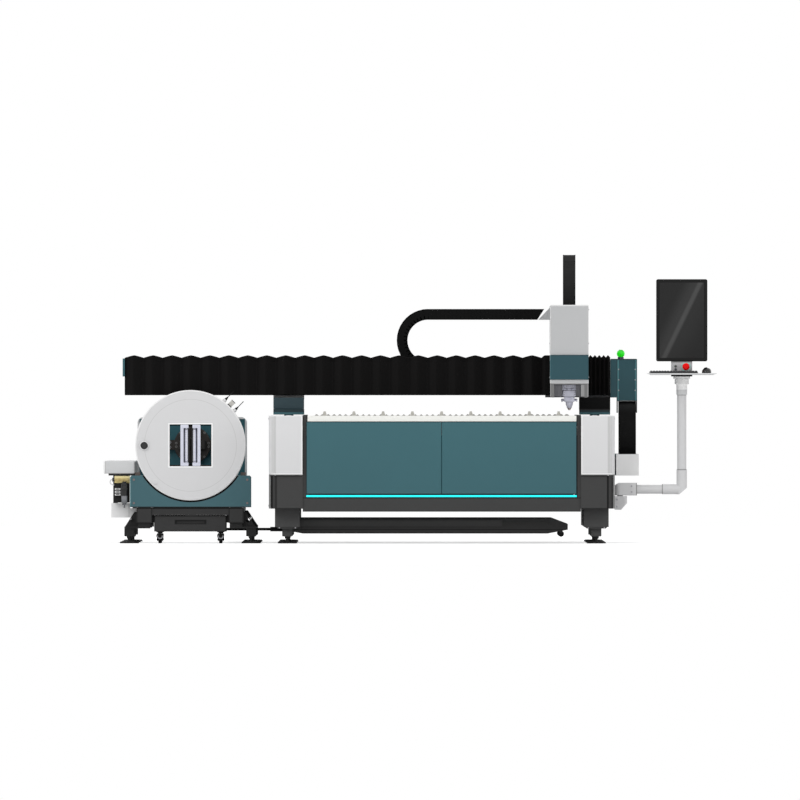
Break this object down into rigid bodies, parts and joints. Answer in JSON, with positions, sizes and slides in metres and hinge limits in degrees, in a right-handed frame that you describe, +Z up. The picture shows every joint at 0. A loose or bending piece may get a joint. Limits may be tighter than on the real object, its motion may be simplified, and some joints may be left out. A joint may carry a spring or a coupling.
{
  "type": "sheet and tube fiber laser cutting machine",
  "caption": "Laser cutting machine with a flat slat bed, travelling gantry and cutting head, a tube chuck unit beside the bed, scrap tray and drawer, and an operator console on an arm.",
  "frame": {"origin": "centre of the machine's footprint on the floor, at rest with the gantry at the front and the head at the right", "axes": "+X to the machine's right seen from the operator's side, +Y to the back, +Z up"},
  "size_m": [3.9832, 4, 1.8765],
  "materials": {
    "side_beam_left": "dark grey structure paint on welded steel",
    "side_beam_right": "dark grey structure paint on welded steel",
    "cross_frames": "dark grey structure paint on folded steel",
    "front_panels": "teal fine-textured powder coat on folded sheet",
    "outer_panels": "teal fine-textured powder coat on folded sheet",
    "led_strip": "cyan diffuser of a light strip",
    "post_covers": "light grey powder coat on folded sheet",
    "table_frame": "off-white powder coat",
    "slats": "laser-cut mild steel strips",
    "levelling_feet": "black oxide steel",
    "linear_rails": "ground rail steel",
    "chain_trough": "light grey powder coat",
    "tube_frame": "dark grey structure paint",
    "chuck_base": "teal powder coat",
    "chuck_drum": "grey painted casting with plated fittings",
    "feed_duct": "light grey powder coat",
    "air_manifold": "machined brass block",
    "valve_panel": "black plate with white valves",
    "filter_regulator": "dark body over a grey bowl",
    "console_bracket": "light grey cast bracket",
    "gantry_beam": "slate paint on the machined beam",
    "gantry_feet": "teal paint with a light top band",
    "gantry_end_box": "dark teal powder coat",
    "beacon": "green lens of the signal lamp",
    "bellows_right": "black coated bellows cloth",
    "bellows_left": "black coated bellows cloth",
    "carriage_plate": "grey painted saddle",
    "head_cover": "light grey powder coat",
    "head_plate": "dark teal powder coat",
    "head_shroud": "grey powder coat",
    "z_drag_chain": "black nylon links",
    "laser_head": "anodised aluminium",
    "x_drag_chain": "black nylon links",
    "y_drag_chain": "black nylon links",
    "chuck_disc": "light grey paint on the turned disc",
    "chuck_jaw_left": "machined aluminium",
    "chuck_jaw_right": "machined aluminium",
    "jaw_roller_left": "ground steel roller",
    "jaw_roller_right": "ground steel roller",
    "rear_chuck_housing": "teal face in a light grey rim",
    "rear_chuck_disc": "blackened steel",
    "rear_jaw_left": "hardened steel",
    "rear_jaw_right": "hardened steel",
    "scrap_tray": "dark grey folded sheet",
    "tray_rollers": "black nylon rollers",
    "tube_drawer": "dark grey folded sheet",
    "castor_fork_left": "plated pressed steel",
    "castor_fork_right": "plated pressed steel",
    "castor_wheel_left": "black tread",
    "castor_wheel_right": "black tread",
    "rear_castor_wheels": "black tread",
    "console_arm": "light grey paint on tube",
    "desk": "light grey paint on folded sheet",
    "control_box": "light grey housing",
    "monitor": "black bezel around dark glass",
    "keyboard": "dark keys on a light base",
    "mouse": "dark plastic",
    "stop_button": "red mushroom",
    "start_button": "green cap",
    "reset_button": "blue cap"
  },
  "bodies": {
    "bed": {"side_beam_left": "side_beam_left", "side_beam_right": "side_beam_right", "cross_frames": "cross_frames", "front_panels": "front_panels", "outer_panels": "outer_panels", "led_strip": "led_strip", "post_covers": "post_covers", "table_frame": "table_frame", "slats": "slats", "levelling_feet": "levelling_feet", "linear_rails": "linear_rails", "chain_trough": "chain_trough", "tube_frame": "tube_frame", "chuck_base": "chuck_base", "chuck_drum": "chuck_drum", "feed_duct": "feed_duct", "air_manifold": "air_manifold", "valve_panel": "valve_panel", "filter_regulator": "filter_regulator", "console_bracket": "console_bracket"},
    "gantry": {"gantry_beam": "gantry_beam", "gantry_feet": "gantry_feet", "gantry_end_box": "gantry_end_box", "beacon": "beacon", "bellows_right": "bellows_right", "bellows_left": "bellows_left"},
    "carriage": {"carriage_plate": "carriage_plate", "head_cover": "head_cover", "head_plate": "head_plate", "head_shroud": "head_shroud", "z_drag_chain": "z_drag_chain"},
    "cutting_head": {"laser_head": "laser_head"},
    "x_chain": {"x_drag_chain": "x_drag_chain"},
    "y_chain": {"y_drag_chain": "y_drag_chain"},
    "front_chuck": {"chuck_disc": "chuck_disc"},
    "chuck_jaw_left": {"chuck_jaw_left": "chuck_jaw_left"},
    "chuck_jaw_right": {"chuck_jaw_right": "chuck_jaw_right"},
    "jaw_roller_left": {"jaw_roller_left": "jaw_roller_left"},
    "jaw_roller_right": {"jaw_roller_right": "jaw_roller_right"},
    "rear_chuck": {"rear_chuck_housing": "rear_chuck_housing"},
    "rear_spindle": {"rear_chuck_disc": "rear_chuck_disc"},
    "rear_jaw_left": {"rear_jaw_left": "rear_jaw_left"},
    "rear_jaw_right": {"rear_jaw_right": "rear_jaw_right"},
    "scrap_tray": {"scrap_tray": "scrap_tray"},
    "tray_rollers": {"tray_rollers": "tray_rollers"},
    "tube_drawer": {"tube_drawer": "tube_drawer"},
    "castor_fork_left": {"castor_fork_left": "castor_fork_left"},
    "castor_fork_right": {"castor_fork_right": "castor_fork_right"},
    "castor_wheel_left": {"castor_wheel_left": "castor_wheel_left"},
    "castor_wheel_right": {"castor_wheel_right": "castor_wheel_right"},
    "rear_castor_wheels": {"rear_castor_wheels": "rear_castor_wheels"},
    "console_arm": {"console_arm": "console_arm"},
    "console": {"desk": "desk", "control_box": "control_box", "monitor": "monitor", "keyboard": "keyboard", "mouse": "mouse"},
    "stop_button": {"stop_button": "stop_button"},
    "start_button": {"start_button": "start_button"},
    "reset_button": {"reset_button": "reset_button"}
  },
  "joints": [
    {"name": "gantry_slide", "type": "slide", "parent": "bed", "child": "gantry", "axis": [0, 1, 0], "range_m": [0, 3], "deforming": ["y_drag_chain"]},
    {"name": "carriage_slide", "type": "slide", "parent": "gantry", "child": "carriage", "axis": [1, 0, 0], "range_m": [-2.46, 0], "deforming": ["bellows_left", "bellows_right", "x_drag_chain"]},
    {"name": "head_lift", "type": "slide", "parent": "carriage", "child": "cutting_head", "axis": [0, 0, 1], "range_m": [-0.004, 0.1], "deforming": ["z_drag_chain"]},
    {"name": "x_chain_slide", "type": "slide", "parent": "gantry", "child": "x_chain", "axis": [1, 0, 0], "range_m": [-1.4514, 0]},
    {"name": "y_chain_slide", "type": "slide", "parent": "gantry", "child": "y_chain", "axis": [0, 1, 0], "range_m": [-1.5, 0]},
    {"name": "chuck_spin", "type": "hinge", "parent": "bed", "child": "front_chuck", "pos_m": [-1.427, -1.675, 0.6376], "axis": [0, 1, 0], "continuous": true},
    {"name": "chuck_jaw_slide", "type": "slide", "parent": "front_chuck", "child": "chuck_jaw_right", "axis": [1, 0, 0], "range_m": [-0.012, 0.065]},
    {"name": "chuck_jaw_slide_left", "type": "slide", "parent": "front_chuck", "child": "chuck_jaw_left", "axis": [1, 0, 0], "range_m": [-0.065, 0.012]},
    {"name": "jaw_roller_left_spin", "type": "hinge", "parent": "chuck_jaw_left", "child": "jaw_roller_left", "pos_m": [-1.454, -1.671, 0.6376], "axis": [0, 0, 1], "continuous": true},
    {"name": "jaw_roller_right_spin", "type": "hinge", "parent": "chuck_jaw_right", "child": "jaw_roller_right", "pos_m": [-1.4, -1.671, 0.6376], "axis": [0, 0, 1], "continuous": true},
    {"name": "feed_slide", "type": "slide", "parent": "bed", "child": "rear_chuck", "axis": [0, 1, 0], "range_m": [-1.6, 0.9]},
    {"name": "rear_spin", "type": "hinge", "parent": "rear_chuck", "child": "rear_spindle", "pos_m": [-1.427, 0.6, 0.6376], "axis": [0, 1, 0], "continuous": true},
    {"name": "rear_jaw_slide", "type": "slide", "parent": "rear_spindle", "child": "rear_jaw_right", "axis": [1, 0, 0], "range_m": [-0.008, 0.03]},
    {"name": "rear_jaw_slide_left", "type": "slide", "parent": "rear_spindle", "child": "rear_jaw_left", "axis": [1, 0, 0], "range_m": [-0.03, 0.008]},
    {"name": "scrap_tray_slide", "type": "slide", "parent": "bed", "child": "scrap_tray", "axis": [1, 0, 0], "range_m": [0, 0.9]},
    {"name": "tray_roller_spin", "type": "hinge", "parent": "scrap_tray", "child": "tray_rollers", "pos_m": [0.9815, -0.9, 0.062], "axis": [0, 1, 0], "continuous": true},
    {"name": "tube_drawer_slide", "type": "slide", "parent": "bed", "child": "tube_drawer", "axis": [0, -1, 0], "range_m": [0, 0.5]},
    {"name": "swivel_castor_left", "type": "hinge", "parent": "tube_drawer", "child": "castor_fork_left", "pos_m": [-1.626, -1.625, 0.07], "axis": [0, 0, 1], "continuous": true},
    {"name": "swivel_castor_right", "type": "hinge", "parent": "tube_drawer", "child": "castor_fork_right", "pos_m": [-1.231, -1.625, 0.07], "axis": [0, 0, 1], "continuous": true},
    {"name": "wheel_spin_left", "type": "hinge", "parent": "castor_fork_left", "child": "castor_wheel_left", "pos_m": [-1.626, -1.605, 0.025], "axis": [1, 0, 0], "continuous": true},
    {"name": "wheel_spin_right", "type": "hinge", "parent": "castor_fork_right", "child": "castor_wheel_right", "pos_m": [-1.231, -1.605, 0.025], "axis": [1, 0, 0], "continuous": true},
    {"name": "rear_castor_spin", "type": "hinge", "parent": "tube_drawer", "child": "rear_castor_wheels", "pos_m": [-1.4285, -1.03, 0.025], "axis": [1, 0, 0], "continuous": true},
    {"name": "arm_swing", "type": "hinge", "parent": "bed", "child": "console_arm", "pos_m": [1.365, -1.75, 0.35], "axis": [0, 0, 1], "range_deg": [-60, 10]},
    {"name": "console_turn", "type": "hinge", "parent": "console_arm", "child": "console", "pos_m": [1.766, -1.75, 1], "axis": [0, 0, 1], "range_deg": [-30, 30]},
    {"name": "press_stop", "type": "slide", "parent": "console", "child": "stop_button", "axis": [0, 1, 0], "range_m": [0, 0.005], "stiffness_N_per_m": 1500},
    {"name": "press_start", "type": "slide", "parent": "console", "child": "start_button", "axis": [0, 1, 0], "range_m": [0, 0.003], "stiffness_N_per_m": 800},
    {"name": "press_reset", "type": "slide", "parent": "console", "child": "reset_button", "axis": [0, 1, 0], "range_m": [0, 0.003], "stiffness_N_per_m": 800}
  ],
  "couplings": [
    {"joint": "x_chain_slide", "follows": "carriage_slide", "ratio": 0.59},
    {"joint": "y_chain_slide", "follows": "gantry_slide", "ratio": -0.5},
    {"joint": "chuck_jaw_slide_left", "follows": "chuck_jaw_slide", "ratio": -1},
    {"joint": "rear_spin", "follows": "chuck_spin", "ratio": 1},
    {"joint": "rear_jaw_slide_left", "follows": "rear_jaw_slide", "ratio": -1}
  ]
}
